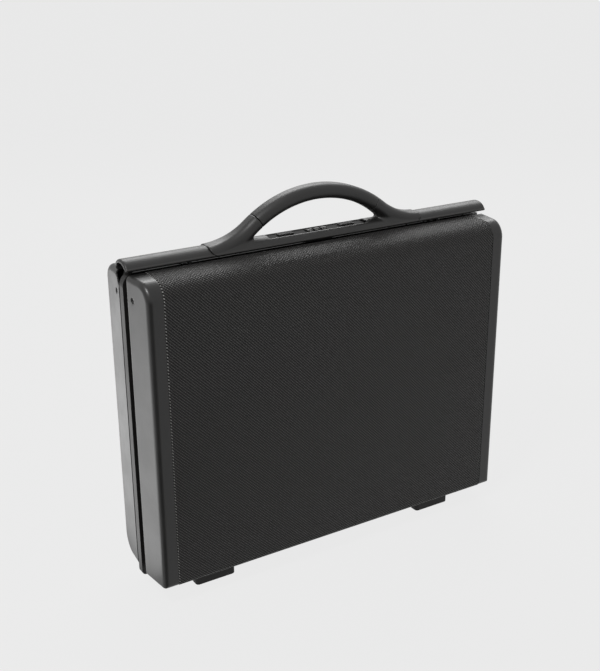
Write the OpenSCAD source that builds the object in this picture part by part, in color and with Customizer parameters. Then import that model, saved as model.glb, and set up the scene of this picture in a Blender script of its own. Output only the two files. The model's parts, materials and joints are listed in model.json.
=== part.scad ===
// Hard-shell attache case that stands on its hinge side. Millimetres, +X to the right of the front face,
// -Y towards the front face, +Z up. The origin is on the floor, under the middle of the closed case.

/* [Case] */
// Width of each face
case_w = 450; // [420:1:480]
// Height of each face
case_h = 340; // [310:1:350]
// Depth of the lid half, from its face to its rim
lid_d = 42; // [40:1:48]
// Depth of the base half, from its face to its rim
base_d = 46.7; // [46:0.1:54]
// Width of the dark gap between the lid's rim and the frame strip
groove_w = 8.8; // [8.8:0.1:10]
// Width of the frame strip that shows between the halves
strip_w = 8.5; // [8.5:0.5:10]

/* [Shells] */
// How much wider a half is at its rim than at its face, on each side
side_flare = 4; // [3:0.5:5]
// How much higher a half is at its rim than at its face
top_flare = 1.5; // [1:0.5:3]
// How much lower a half is at its rim than at its face
bottom_flare = 1; // [0.5:0.5:2]
// Wall of the moulded end caps
cap_t = 2.2; // [2.1:0.1:2.6]
// Thickness of the textured sheet
panel_t = 2; // [1.6:0.1:2]
// Width of the smooth end cap on a face, up to the textured sheet
cap_w = 17; // [14:1:24]
// Width of the end cap's step under the sheet
lap_w = 8; // [5:1:12]
// Rounding of the lid's top front edge
lid_top_r = 19; // [14:1:22]
// Rounding of the lid's bottom front edge
lid_bottom_r = 5; // [5:0.5:10]
// Rounding of the base's top rear edge
base_top_r = 16; // [12:1:20]
// Rounding of the base's bottom rear edge
base_bottom_r = 28; // [20:1:32]
// Rounding of the upright edges of the faces
side_r = 6; // [5:0.5:8]
// Rounding of a half's upper corners at its rim, as seen from the front
top_corner_r = 10; // [7:1:12]
// Rounding of a half's lower corners at its rim, as seen from the front
low_corner_r = 13; // [9:1:15]

/* [Frame] */
// Depth of the frame inside each half, from the rim
frame_d = 20; // [16:1:24]
// Distance from the outside of the rim in to the lid frame's opening
lid_ring_w = 12; // [12:0.5:15]
// How far the strip's top lies below the rims' tops
strip_sink = 1.5; // [1:0.5:2]
// How far the strip stands below the rims
strip_drop = 6; // [5:0.5:7]
// How far the strip stands out at the sides
strip_out = 0.5; // [0.2:0.1:1]
// Radius of the strip's upper corners
strip_top_r = 5; // [4:0.5:8]
// Radius of the strip's lower corners
strip_low_r = 5; // [4:0.5:8]
// Length of the tongue in front of the strip
tongue_l = 17; // [14:1:20]
// Wall of the tongue
tongue_t = 4; // [3:0.5:5]
// Clearance between the tongue and the lid frame
tongue_gap = 0.6; // [0.5:0.1:0.9]
// Corner radius of the lid frame's opening
opening_r = 10; // [8:1:14]

/* [Lining] */
// Thickness of the lining trays
lining_t = 1.2; // [1:0.1:1.5]
// Half width of the document pocket
pocket_hw = 185; // [160:1:192]
// Height of the document pocket
pocket_h = 215; // [180:1:240]
// Thickness of the document pocket
pocket_t = 4; // [3:0.5:6]
// Height of the document pocket above the lid's opening
pocket_rise = 20; // [14:1:30]

/* [Hinge] */
// Height of the hinge axis above the strip's lower edge
hinge_rise = 5; // [4.5:0.5:6]
// Length of the hinge
hinge_l = 396; // [360:1:420]
// Number of knuckles, an odd number
knuckle_n = 11; // [7:2:15]
// Outer radius of the knuckles
knuckle_r = 3.6; // [3.3:0.1:3.8]
// Radius of the hinge pin
hinge_pin_r = 1.5; // [1.2:0.1:1.8]
// Thickness of the hinge leaves
leaf_t = 1.5; // [1.3:0.1:1.6]

/* [Feet] */
// Width of a foot
foot_w = 48.6; // [44:0.2:54]
// Depth of a foot
foot_d = 15; // [13:0.5:16]
// Height of the faces' lower edge above the floor
foot_h = 24; // [22:0.5:25]
// Distance from the end of a face in to the nearest foot
foot_end = 48; // [34:1:70]
// Distance from the lid's face back to its feet
lid_foot_in = 23.5; // [22:0.5:25]
// Distance from the base's face in to its feet
base_foot_in = 18; // [16:0.5:18.5]
// Corner radius of a foot
foot_r = 4; // [3:0.5:6]

/* [Rail] */
// Width of the rail, front to back
rail_w = 28; // [27.5:0.5:30]
// Distance of the rail's middle in front of the middle of the strip
rail_ahead = 0.55; // [0.4:0.05:0.7]
// Height of the rail's crown above its front lip
rail_h = 9.3; // [9:0.1:11]
// Gap between the strip and the rail's front lip
rail_gap = 5.5; // [5:0.25:6]
// Wall of the rail
rail_t = 2.2; // [2:0.1:2.4]
// Length of the notch in a base end cap under the rail's end
notch_l = 11; // [8:1:13]
// Depth of that notch from the base's rim
notch_w = 11.4; // [10:0.2:12]
// Height of that notch
notch_h = 14.5; // [12:0.5:15]
// Distance from the end of the strip in to the end of the rail
rail_in = 0; // [0:0.5:4]
// Distance from the handle body out to a rail's first screw
rail_screw_near = 11; // [9:1:16]
// Distance from a rail's outer end in to its other screw
rail_screw_far = 25; // [23:1:30]

/* [Handle] */
// Outer radius of the arched grip
grip_r = 140.5; // [136:0.5:145]
// Thickness of the grip, seen from the front
grip_h = 16.6; // [15:0.2:18]
// Width of the grip, front to back
grip_w = 22; // [20:0.5:24]
// Height of the grip's top above the rail's crown
grip_rise = 48.6; // [46:0.2:54]
// Radius of the hollow curve from the grip down to the rail
flare_r = 83; // [78:1:88]
// Distance from the middle to the seam between the grip and a flare
grip_x = 74; // [70:1:80]
// Distance from the middle to the seam between the handle body and a rail
handle_x = 135; // [130:1:138]
// Rounding of the handle body's lower front corners, which the rails fill
seam_r = 9; // [6:0.5:9]
// Distances from the middle to the bolts of the handle
handle_bolt_near = 96; // [92:1:100]
handle_bolt_far = 121; // [116:1:124]
// Thickness of the steel strap in the grip
core_t = 2.5; // [2:0.5:4]
// Width of the steel strap in the grip
core_w = 12; // [10:1:14]

/* [Lock] */
// Length of the recess in the deck
recess_l = 126; // [122:1:130]
// Width of the recess in the deck, front to back
recess_w = 16; // [15:0.5:17]
// Depth of the lock plate under the rail's crown
recess_depth = 3; // [2.8:0.1:3.4]
// Thickness of the lock plate
plate_t = 1.4; // [1.2:0.1:1.6]
// Radius of the number dials
dial_r = 6.2; // [6:0.1:6.4]
// Width of a number dial
dial_w = 6.4; // [5.8:0.1:6.8]
// Distance from dial to dial
dial_pitch = 9; // [8.8:0.1:9.6]
// How far the dials stand above the lock plate
dial_show = 2; // [1.8:0.1:2.2]
// Radius of the dial spindle
spindle_r = 1.5; // [1.2:0.1:1.8]
// Wall of the dial housing
housing_t = 1.6; // [1.2:0.1:2]

/* [Latches] */
// Travel of a thumb slide
slide_travel = 6; // [5.5:0.5:7]
// Length of a thumb slide
button_l = 18; // [16:1:20]
// Distance from the middle to the near end of a thumb slide
button_x = 30; // [29:0.5:33]
// Distance from the middle to the keeper's stem
keeper_x = 157; // [156:1:165]
// Width of the latch rod
rod_w = 5; // [4:0.5:5.5]
// Thickness of the latch rod and the keeper tabs
rod_t = 2; // [1.6:0.1:2.2]

/* [Stays] */
// Distance of the base pivot behind the hinge axis
stay_base_y = 30.5; // [28:0.5:33]
// Height of the base pivot above the hinge axis
stay_base_z = 62; // [58:0.5:66]
// Distance of the lid pivot in front of the hinge axis
stay_lid_y = 24.5; // [23:0.5:26]
// Height of the lid pivot above the hinge axis
stay_lid_z = 62; // [58:0.5:66]
// Width of a stay arm
arm_w = 9; // [8:0.5:11]
// Thickness of a stay arm
arm_t = 1.8; // [1.5:0.1:2]
// Radius of the rivets that the arms turn on
rivet_r = 2; // [1.6:0.1:2.4]

/* [Screws] */
// Radius of the screw heads in the end caps
screw_head_r = 2.6; // [2.2:0.1:3]
// Radius of all screw shanks
screw_r = 1.5; // [1.3:0.1:1.7]
// Distance of the end cap screws below the top of a face
screw_drop = 22; // [16:1:30]
// Distance of the lid's screws from its rim
lid_screw_in = 10; // [7:0.5:12]
// Distance of the base's screws from its rim
base_screw_in = 12.5; // [9:0.5:15]
// Length of the end cap screws under their heads
cap_screw_l = 8.5; // [7:0.5:8.5]

/* [Fits] */
// Gap between pieces that are fixed together
seat_gap = 0.1; // [0.05:0.05:0.15]
// Radial clearance of pins and spindles in their bores
pin_fit = 0.05; // [0.03:0.01:0.08]
// Gap between pieces that move past each other
run_gap = 0.3; // [0.3:0.05:0.5]

/* [Hidden] */
$fn = 48;

shell_colour = [0.15, 0.15, 0.15];
cap_colour = [0.2, 0.2, 0.2];
frame_colour = [0.25, 0.25, 0.25];
rubber_colour = [0.07, 0.07, 0.07];
lining_colour = [0.3, 0.3, 0.32];
steel_colour = [0.7, 0.7, 0.72];

// Places along Y
case_d = lid_d + groove_w + strip_w + base_d;
front_y = -case_d / 2;
rear_y = case_d / 2;
lid_rim_y = front_y + lid_d;
strip_y = lid_rim_y + groove_w;
base_rim_y = strip_y + strip_w;
hinge_y = lid_rim_y + groove_w / 2;
strip_mid_y = strip_y + strip_w / 2;

// Places along Z
face_bottom = foot_h;
face_top = foot_h + case_h;
rim_top = face_top + top_flare;
rim_bottom = face_bottom - bottom_flare;
strip_top = rim_top - strip_sink;
strip_bottom = rim_bottom - strip_drop;
hinge_z = strip_bottom + hinge_rise;

// Half widths along X
face_hw = case_w / 2;
rim_hw = face_hw + side_flare;
strip_hw = rim_hw + strip_out;
panel_hw = face_hw - cap_w;
open_hw = rim_hw - lid_ring_w;
tongue_hw = open_hw - tongue_gap;
inner_hw = tongue_hw - tongue_t;
open_bottom = rim_bottom + lid_ring_w;
open_top = rim_top - lid_ring_w;

// Rail section
rail_mid_y = strip_mid_y - rail_ahead;
rail_hw = rail_w / 2;
lip_z = strip_top + rail_gap;
crown_z = lip_z + rail_h;
rail_end_x = strip_hw - rail_in;

// Handle
grip_top = crown_z + grip_rise;
arch_z = grip_top - grip_r;
core_r = grip_r - grip_h / 2;
core_end_x = grip_x + 8;
flare_end_x = sqrt(pow(grip_r + flare_r, 2) - pow(crown_z + flare_r - arch_z, 2));
flare_join_x = flare_end_x * grip_r / (grip_r + flare_r);
flare_x = max(sqrt(pow(grip_r - grip_h, 2) - pow(crown_z - arch_z, 2)), grip_x * grip_r / core_r) + 1;
post_r = 3.5;
post_y = rail_mid_y - 1;
handle_post_x = [handle_bolt_near, handle_bolt_far];
rail_post_x = [handle_x + rail_screw_near, rail_end_x - rail_screw_far];

// Lock
plate_top = crown_z - recess_depth;
plate_bottom = plate_top - plate_t;
dial_z = plate_top + dial_show - dial_r;
housing_hw = 1.5 * dial_pitch + housing_t + 2;
dial_slot_w = dial_w + 2 * run_gap;

// Latches, all on the +X side
button_top = crown_z - 0.6;
neck_x = button_x + 4;
neck_l = 8;
neck_w = 4;
rod_z = lip_z - 0.2;
rod_y = rail_mid_y + 4;
plate_end_x = button_x + button_l - 1;
spring_stop_x = recess_l / 2 + 3;
spring_r = 2;
keeper_top = lip_z - 1;
keeper_w = 3.5;
nose_gap = 0.4;
nose_x = keeper_x + keeper_w + 1;
nose_w = 4.5;
nose_depth = 3;

// Stays, a parallelogram of the hinge axis, the two brackets and the elbow
base_pivot = [hinge_y + stay_base_y, hinge_z + stay_base_z];
lid_pivot = [hinge_y - stay_lid_y, hinge_z + stay_lid_z];
elbow = base_pivot + [-stay_lid_y, stay_lid_z];
lining_hw = inner_hw - 2 * seat_gap;
stay_x = lining_hw - lining_t - seat_gap;
bracket_t = 1.5;
arm_base_x = stay_x - bracket_t - run_gap;
arm_lid_x = arm_base_x - arm_t - run_gap;
rivet_head_r = rivet_r + 1.8;
rivet_head_t = 1;

// Ends of the lid's and base's inside
tray_in = panel_t + cap_t + 2 * seat_gap;
lid_tray_y = front_y + tray_in;
base_tray_y = rear_y - tray_in;
far = case_w + case_h;
foot_x = face_hw - foot_end - foot_w / 2;

function unit(v) = v / norm(v);
function turn(a) = a > 180 ? a - 360 : a < -180 ? a + 360 : a;
function corner_arc(a, b, c, r, n) =
    let (
        u = unit(a - b),
        v = unit(c - b),
        half = acos(u * v) / 2,
        centre = b + unit(u + v) * r / sin(half),
        from = b + u * r / tan(half) - centre,
        to = b + v * r / tan(half) - centre,
        start = atan2(from[1], from[0]),
        sweep = turn(atan2(to[1], to[0]) - start)
    )
    [for (i = [0:n]) centre + r * [cos(start + sweep * i / n), sin(start + sweep * i / n)]];
// Closed outline through the points, with each corner rounded to its radius
function rounded(points, radii, n = 8) =
    let (count = len(points))
    [for (i = [0:count - 1])
        let (arc = radii[i] > 0
            ? corner_arc(points[(i + count - 1) % count], points[i], points[(i + 1) % count], radii[i], n)
            : [points[i]])
        for (p = arc) p];
function box_outline(x0, y0, x1, y1, r) = rounded([[x0, y0], [x1, y0], [x1, y1], [x0, y1]], [r, r, r, r], 6);
// Upper half of an ellipse from its front end to its rear end
function dome(mid, base, half_w, h, n = 20) =
    [for (i = [0:n]) [mid - half_w * cos(180 * i / n), base + h * sin(180 * i / n)]];

// Section of a half in Y and Z, set in by t, with its rim lengthened by over
function half_side(face, rim, t, over, top_r, bottom_r) =
    let (
        s = rim > face ? 1 : -1,
        k = 1 + over / abs(rim - face)
    )
    rounded([
        [rim + s * over, face_top + top_flare * k - t],
        [face + s * t, face_top - t],
        [face + s * t, face_bottom + t],
        [rim + s * over, face_bottom - bottom_flare * k + t]
    ], [0, max(top_r - t, 1), max(bottom_r - t, 1), 0]);
// Plan of a half in X and Y, set in by t, with its rim lengthened by over
function half_plan(face, rim, t, over) =
    let (
        s = rim > face ? 1 : -1,
        k = 1 + over / abs(rim - face)
    )
    rounded([
        [-(face_hw + side_flare * k - t), rim + s * over],
        [-(face_hw - t), face + s * t],
        [face_hw - t, face + s * t],
        [face_hw + side_flare * k - t, rim + s * over]
    ], [0, max(side_r - t, 1), max(side_r - t, 1), 0]);

// Extrudes a Y and Z outline along X between two places
module along_x(x0, x1) {
    translate([x0, 0, 0])
        rotate([90, 0, 90])
            linear_extrude(x1 - x0) children();
}
// Extrudes an X and Z outline along Y between two places
module along_y(y0, y1) {
    translate([0, y1, 0])
        rotate([90, 0, 0])
            linear_extrude(y1 - y0) children();
}
// Cylinder along X between two places
module rod_x(x0, x1, y, z, r) {
    translate([min(x0, x1), y, z])
        rotate([0, 90, 0])
            cylinder(h = abs(x1 - x0), r = r);
}
// Box between two corners
module block(a, b) {
    translate([min(a[0], b[0]), min(a[1], b[1]), min(a[2], b[2])])
        cube([abs(b[0] - a[0]), abs(b[1] - a[1]), abs(b[2] - a[2])]);
}
// The copy on the left is the right one mirrored
module side(left) {
    mirror([left ? 1 : 0, 0, 0]) children();
}

// Outline of the rims in X and Z, set in by t
function rim_outline(t) =
    let (
        x = rim_hw - t,
        low = max(low_corner_r - t, 1),
        top = max(top_corner_r - t, 1)
    )
    rounded([[-x, rim_bottom + t], [x, rim_bottom + t], [x, rim_top - t], [-x, rim_top - t]],
        [low, low, top, top], 6);
// Solid of a half, set in by t
module half_solid(face, rim, t, over, top_r, bottom_r) {
    intersection() {
        along_x(-far, far) polygon(half_side(face, rim, t, over, top_r, bottom_r));
        linear_extrude(far) polygon(half_plan(face, rim, t, over));
        along_y(-far, far) polygon(rim_outline(t));
    }
}
module lid_solid(t, over = 0) {
    half_solid(front_y, lid_rim_y, t, over, lid_top_r, lid_bottom_r);
}
module base_solid(t, over = 0) {
    half_solid(rear_y, base_rim_y, t, over, base_top_r, base_bottom_r);
}

// Textured sheet that wraps a half from rim to rim
module panel(face, rim, top_r, bottom_r) {
    color(shell_colour) along_x(-panel_hw, panel_hw) difference() {
        polygon(half_side(face, rim, 0, 0, top_r, bottom_r));
        polygon(half_side(face, rim, panel_t, 1, top_r, bottom_r));
    }
}
module base_panel() {
    panel(rear_y, base_rim_y, base_top_r, base_bottom_r);
}
module lid_panel() {
    panel(front_y, lid_rim_y, lid_top_r, lid_bottom_r);
}

// Counterbored hole for an end cap screw, from the outside in
module cap_screw_hole(y) {
    rod_x(cap_seat_x(y) - cap_screw_l, far, y, face_top - screw_drop, screw_r + 2 * seat_gap);
    rod_x(cap_seat_x(y), far, y, face_top - screw_drop, screw_head_r + seat_gap);
}
// X of the seat under a screw head, 1.4 mm under the flared side wall
function cap_side_x(y) = y < 0
    ? face_hw + side_flare * (y - front_y) / lid_d
    : face_hw + side_flare * (rear_y - y) / base_d;
function cap_seat_x(y) = cap_side_x(y) - cap_t + 0.9;
lid_screw_y = lid_rim_y - lid_screw_in;
base_screw_y = base_rim_y + base_screw_in;
module cap_screw(y) {
    rod_x(cap_seat_x(y), cap_seat_x(y) + 0.8, y, face_top - screw_drop, screw_head_r);
    rod_x(cap_seat_x(y) - cap_screw_l, cap_seat_x(y) + 0.1, y, face_top - screw_drop, screw_r);
}

module lid_end_cap(left) {
    color(cap_colour) side(left) difference() {
        union() {
            intersection() {
                difference() {
                    lid_solid(0);
                    lid_solid(cap_t, 1);
                }
                block([panel_hw + seat_gap, front_y - 1, 0], [far, lid_rim_y + 1, far]);
            }
            intersection() {
                difference() {
                    lid_solid(panel_t + seat_gap);
                    lid_solid(panel_t + seat_gap + cap_t, 1);
                }
                block([panel_hw - lap_w, front_y, 0],
                    [panel_hw + lap_w / 2, lid_rim_y - frame_d - seat_gap, far]);
            }
        }
        cap_screw_hole(lid_screw_y);
    }
}
// Notch in a base end cap, open towards the strip and to the top
module rail_notch() {
    low = rim_top - notch_h;
    rear = base_rim_y + notch_w;
    along_x(rim_hw - notch_l, far)
        polygon([[base_rim_y - 1, low], [rear - 6.2, low], [rear, low + 9], [rear, far], [base_rim_y - 1, far]]);
}
module base_end_cap(left) {
    color(cap_colour) side(left) difference() {
        union() {
            intersection() {
                difference() {
                    base_solid(0);
                    base_solid(cap_t, 1);
                }
                block([panel_hw + seat_gap, base_rim_y - 1, 0], [far, rear_y + 1, far]);
            }
            intersection() {
                difference() {
                    base_solid(panel_t + seat_gap);
                    base_solid(panel_t + seat_gap + cap_t, 1);
                }
                block([panel_hw - lap_w, base_rim_y + frame_d + seat_gap, 0],
                    [panel_hw + lap_w / 2, rear_y, far]);
            }
        }
        cap_screw_hole(base_screw_y);
        rail_notch();
    }
}
module lid_end_cap_left() { lid_end_cap(true); }
module lid_end_cap_right() { lid_end_cap(false); }
module base_end_cap_left() { base_end_cap(true); }
module base_end_cap_right() { base_end_cap(false); }

module lid_screws() {
    color(steel_colour) for (left = [true, false]) side(left) cap_screw(lid_screw_y);
}
module base_screws() {
    color(steel_colour) for (left = [true, false]) side(left) cap_screw(base_screw_y);
}

// Opening in X and Z, set in by t from the lid frame's opening
module opening(t) {
    polygon(box_outline(-open_hw + t, open_bottom + t, open_hw - t, open_top - t, opening_r - t));
}
module lid_frame() {
    color(frame_colour) difference() {
        intersection() {
            lid_solid(cap_t + seat_gap);
            block([-far, lid_rim_y - frame_d, 0], [far, lid_rim_y, far]);
        }
        along_y(-far, far) opening(0);
        for (left = [true, false]) side(left)
            rod_x(cap_seat_x(lid_screw_y) - cap_screw_l - seat_gap, far, lid_screw_y,
                face_top - screw_drop, screw_r + seat_gap);
    }
}
module base_frame() {
    color(frame_colour) difference() {
        union() {
            along_y(strip_y, base_rim_y)
                polygon(rounded([[-strip_hw, strip_bottom], [strip_hw, strip_bottom], [strip_hw, strip_top],
                    [-strip_hw, strip_top]], [strip_low_r, strip_low_r, strip_top_r, strip_top_r], 6));
            intersection() {
                base_solid(cap_t + seat_gap);
                block([-far, base_rim_y - 1, 0], [far, base_rim_y + frame_d, far]);
            }
            along_y(strip_y - tongue_l, strip_y + 1) opening(tongue_gap);
        }
        along_y(-far, far) opening(tongue_gap + tongue_t);
        for (left = [true, false]) side(left) {
            rod_x(cap_seat_x(base_screw_y) - cap_screw_l - seat_gap, far, base_screw_y,
                face_top - screw_drop, screw_r + seat_gap);
            for (x = handle_post_x) bolt_space(x, seat_gap);
            for (x = rail_post_x) bolt_space(x, seat_gap);
        }
    }
}

// Bolt from inside the frame up into a post of the rail or handle, grown by gap for its hole
bolt_head_z = open_top - tongue_gap - tongue_t;
bolt_head_t = 2.2;
module bolt_space(x, gap) {
    translate([x, post_y, bolt_head_z - 1]) {
        cylinder(h = bolt_head_t + 1, r = screw_r + 2 + gap);
        cylinder(h = lip_z - bolt_head_z + 2.5, r = screw_r + gap);
    }
}
module bolt(x) {
    translate([x, post_y, bolt_head_z + seat_gap]) {
        cylinder(h = bolt_head_t - 2 * seat_gap, r = screw_r + 2);
        cylinder(h = lip_z - bolt_head_z + 1, r = screw_r);
    }
}
module handle_bolts() {
    color(steel_colour) for (left = [true, false]) side(left)
        for (x = handle_post_x) bolt(x);
}
module rail_screws() {
    color(steel_colour) for (left = [true, false]) side(left)
        for (x = rail_post_x) bolt(x);
}

// Lining trays, set in from the shell and from the lid frame's opening
module lid_tray(t, y1) {
    intersection() {
        along_y(lid_tray_y + t, y1) opening(2 * seat_gap + t);
        lid_solid(tray_in + t, 1);
    }
}
module base_tray(t, y1) {
    intersection() {
        along_y(y1, base_tray_y - t) opening(tongue_gap + tongue_t + 2 * seat_gap + t);
        base_solid(tray_in + t, far);
    }
}
module lid_lining() {
    color(lining_colour) difference() {
        lid_tray(0, strip_y - tongue_l - 1);
        lid_tray(lining_t, strip_y - tongue_l);
    }
}
module base_lining() {
    color(lining_colour) difference() {
        base_tray(0, strip_y - 1);
        base_tray(lining_t, strip_y - 2);
    }
}
// Document pocket that lies flat on the lid's lining
module lid_pocket() {
    y0 = lid_tray_y + lining_t + seat_gap;
    z0 = open_bottom + pocket_rise;
    color(lining_colour) along_y(y0, y0 + pocket_t)
        polygon(box_outline(-pocket_hw, z0, pocket_hw, z0 + pocket_h, opening_r));
}

// Hinge: knuckles take turns between the two leaves
knuckle_l = hinge_l / knuckle_n;
leaf_z = hinge_z + knuckle_r + 0.8;
leaf_top = open_bottom - 2 * seat_gap;
module leaf(first, wall_y, s) {
    difference() {
        union() {
            block([-hinge_l / 2, wall_y, leaf_z], [hinge_l / 2, wall_y + s * leaf_t, leaf_top]);
            for (i = [first:2:knuckle_n - 1]) {
                x0 = -hinge_l / 2 + i * knuckle_l + run_gap / 2;
                x1 = x0 + knuckle_l - run_gap;
                rod_x(x0, x1, hinge_y, hinge_z, knuckle_r);
                block([x0, wall_y, hinge_z], [x1, wall_y + s * leaf_t, leaf_z + 1]);
            }
        }
        rod_x(-far, far, hinge_y, hinge_z, hinge_pin_r + pin_fit);
    }
}
module base_hinge_leaf() {
    color(steel_colour) leaf(0, strip_y, -1);
}
module lid_hinge_leaf() {
    color(steel_colour) leaf(1, lid_rim_y, 1);
}
module hinge_pin() {
    color(steel_colour) rod_x(-hinge_l / 2 - 1, hinge_l / 2 + 1, hinge_y, hinge_z, hinge_pin_r);
}

// Two feet under a half, from y0 to the rear
module feet(y0) {
    for (x = [-foot_x, foot_x])
        linear_extrude(foot_h + foot_r)
            polygon(box_outline(x - foot_w / 2, y0, x + foot_w / 2, y0 + foot_d, foot_r));
}
module lid_feet() {
    color(rubber_colour) difference() {
        feet(front_y + lid_foot_in);
        lid_solid(-seat_gap / 2);
    }
}
module base_feet() {
    color(rubber_colour) difference() {
        feet(rear_y - base_foot_in - foot_d);
        base_solid(-seat_gap / 2);
    }
}

// Height of the base's top at y, where the rear wall of the rail stands
function base_top(y) = rim_top - top_flare * (y - base_rim_y) / base_d + seat_gap;
// Section of the rail and of the handle's deck, and the hollow under it
module rail_outer() {
    rear = rail_mid_y + rail_hw;
    polygon(concat(dome(rail_mid_y, lip_z, rail_hw, rail_h),
        [[rear, base_top(rear)], [rear - rail_t, base_top(rear - rail_t)], [rear - rail_t, lip_z]]));
}
module rail_hollow() {
    polygon(concat(dome(rail_mid_y, lip_z, rail_hw - rail_t, rail_h - rail_t),
        [[rail_mid_y + rail_hw - rail_t, face_top], [rail_mid_y - rail_hw + rail_t, face_top]]));
}
module rail_section() {
    difference() {
        rail_outer();
        rail_hollow();
    }
}
// Keeps what stands under the roof of the rail inside its wall
module under_roof() {
    intersection() {
        children();
        along_x(-far, far)
            polygon(dome(rail_mid_y, strip_top, rail_hw - rail_t / 2, crown_z - rail_t / 2 - strip_top));
    }
}
// Post that stands on the strip under the rail
module post(x) {
    under_roof() translate([x, post_y, strip_top + seat_gap]) cylinder(h = far, r = post_r);
}
// Region under the rounded lower front corner of the handle body, set in by gap
module seam_corner(gap) {
    difference() {
        block([handle_x - seam_r, -far, lip_z - 1], [handle_x + 1, rail_mid_y, lip_z + seam_r]);
        translate([handle_x - seam_r, 0, lip_z + seam_r])
            rotate([90, 0, 0])
                cylinder(h = 2 * far, r = seam_r + gap, center = true);
    }
}
module rail(left) {
    color(cap_colour) side(left) difference() {
        union() {
            along_x(handle_x + seat_gap, rail_end_x) rail_section();
            intersection() {
                along_x(handle_x - seam_r, handle_x + 1) rail_section();
                seam_corner(seat_gap);
            }
            for (x = rail_post_x) post(x);
        }
        for (x = rail_post_x) bolt_space(x, seat_gap);
    }
}
module rail_left() { rail(true); }
module rail_right() { rail(false); }

// Grip: arch about an axis along Y, with radial ends at x_end as measured on its middle radius
module arch(r_mid, h, w, x_end, r) {
    start = acos(x_end / r_mid);
    translate([0, 0, arch_z])
        rotate([90, 0, 0])
            rotate([0, 0, start])
                rotate_extrude(angle = 180 - 2 * start, $fn = 180)
                    polygon(box_outline(r_mid - h / 2, -w / 2, r_mid + h / 2, w / 2, r));
}
module handle_grip() {
    color(rubber_colour) translate([0, rail_mid_y, 0]) difference() {
        arch(core_r, grip_h, grip_w, grip_x, 8);
        arch(core_r, core_t + 2 * seat_gap, core_w + 2 * seat_gap, far / 8, 0.5);
    }
}
module handle_core() {
    color(steel_colour) translate([0, rail_mid_y, 0]) arch(core_r, core_t, core_w, core_end_x, 0.4);
}

// Slice of a flare, from the deck up to top
module flare_slice(x, top, w) {
    along_x(x - 0.5, x + 0.5) translate([rail_mid_y, 0])
        polygon(concat([[w / 2, lip_z], [-w / 2, lip_z]],
            dome(0, top - w / 3, w / 2, w / 3, 12)));
}
// Top of the handle: the grip's arch, then a hollow curve that meets it and the rail without a corner
function flare_top(x) = x < flare_join_x
    ? arch_z + sqrt(grip_r * grip_r - x * x)
    : crown_z + flare_r - sqrt(flare_r * flare_r - pow(min(x, flare_end_x) - flare_end_x, 2));
module flare() {
    stations = [flare_x, flare_x + 9, flare_x + 26, handle_x - 1];
    widths = [grip_w, grip_w + 1, grip_w + 3, rail_w - 0.5];
    difference() {
        translate([0, rail_mid_y, 0]) arch(core_r, grip_h, grip_w, flare_x + 6, 8);
        translate([0, rail_mid_y, 0]) arch(core_r, grip_h + 2, grip_w + 2, grip_x + seat_gap, 1);
        block([-far, -far, 0], [0, far, far]);
    }
    for (i = [0:len(stations) - 2])
        hull() {
            flare_slice(stations[i], flare_top(stations[i]), widths[i]);
            flare_slice(stations[i + 1], flare_top(stations[i + 1]), widths[i + 1]);
        }
}
module handle_body() {
    color(cap_colour) difference() {
        union() {
            difference() {
                union() {
                    along_x(-handle_x, handle_x) rail_outer();
                    for (left = [true, false]) side(left) flare();
                }
                along_x(-far, far) rail_hollow();
            }
            for (left = [true, false]) side(left) {
                for (x = handle_post_x) post(x);
                under_roof() block([spring_stop_x, strip_y, strip_top + seat_gap],
                    [spring_stop_x + 2, strip_y + strip_w - 1, far]);
            }
        }
        block([-recess_l / 2, rail_mid_y - recess_w / 2, lip_z],
            [recess_l / 2, rail_mid_y + recess_w / 2, far]);
        for (left = [true, false]) side(left) seam_corner(0);
        for (left = [true, false]) side(left)
            for (x = handle_post_x) bolt_space(x, seat_gap);
        translate([0, rail_mid_y, 0])
            arch(core_r, core_t + 4 * seat_gap, core_w + 4 * seat_gap, core_end_x + seat_gap, 0.5);
    }
}

// Lock plate with slots for the dials and the thumb slides
module lock_plate() {
    color(frame_colour) difference() {
        block([-recess_l / 2 + 2 * seat_gap, rail_mid_y - recess_w / 2 + 2 * seat_gap, plate_bottom],
            [recess_l / 2 - 2 * seat_gap, rail_mid_y + recess_w / 2 - 2 * seat_gap, plate_top]);
        for (i = [-1:1])
            block([i * dial_pitch - dial_slot_w / 2, rail_mid_y - dial_r, plate_bottom - 1],
                [i * dial_pitch + dial_slot_w / 2, rail_mid_y + dial_r, plate_top + 1]);
        for (left = [true, false]) side(left)
            block([neck_x - run_gap, rail_mid_y - neck_w / 2 - run_gap, plate_bottom - 1],
                [neck_x + neck_l + slide_travel + run_gap, rail_mid_y + neck_w / 2 + run_gap, plate_top + 1]);
    }
}
module lock_housing() {
    y0 = rail_mid_y - recess_w / 2 + 0.5;
    y1 = rail_mid_y + recess_w / 2 - 0.5;
    z0 = rim_top + 2 * seat_gap;
    color(frame_colour) difference() {
        block([-housing_hw, y0, z0], [housing_hw, y1, plate_bottom - seat_gap]);
        block([-housing_hw + housing_t, y0 + 1, z0 - 1], [housing_hw - housing_t, y1 - 1, plate_bottom + 1]);
        rod_x(-housing_hw + 0.6, housing_hw - 0.6, rail_mid_y, dial_z, spindle_r + pin_fit);
    }
}
module lock_spindle() {
    color(steel_colour) rod_x(-housing_hw + 0.7, housing_hw - 0.7, rail_mid_y, dial_z, spindle_r);
}
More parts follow.
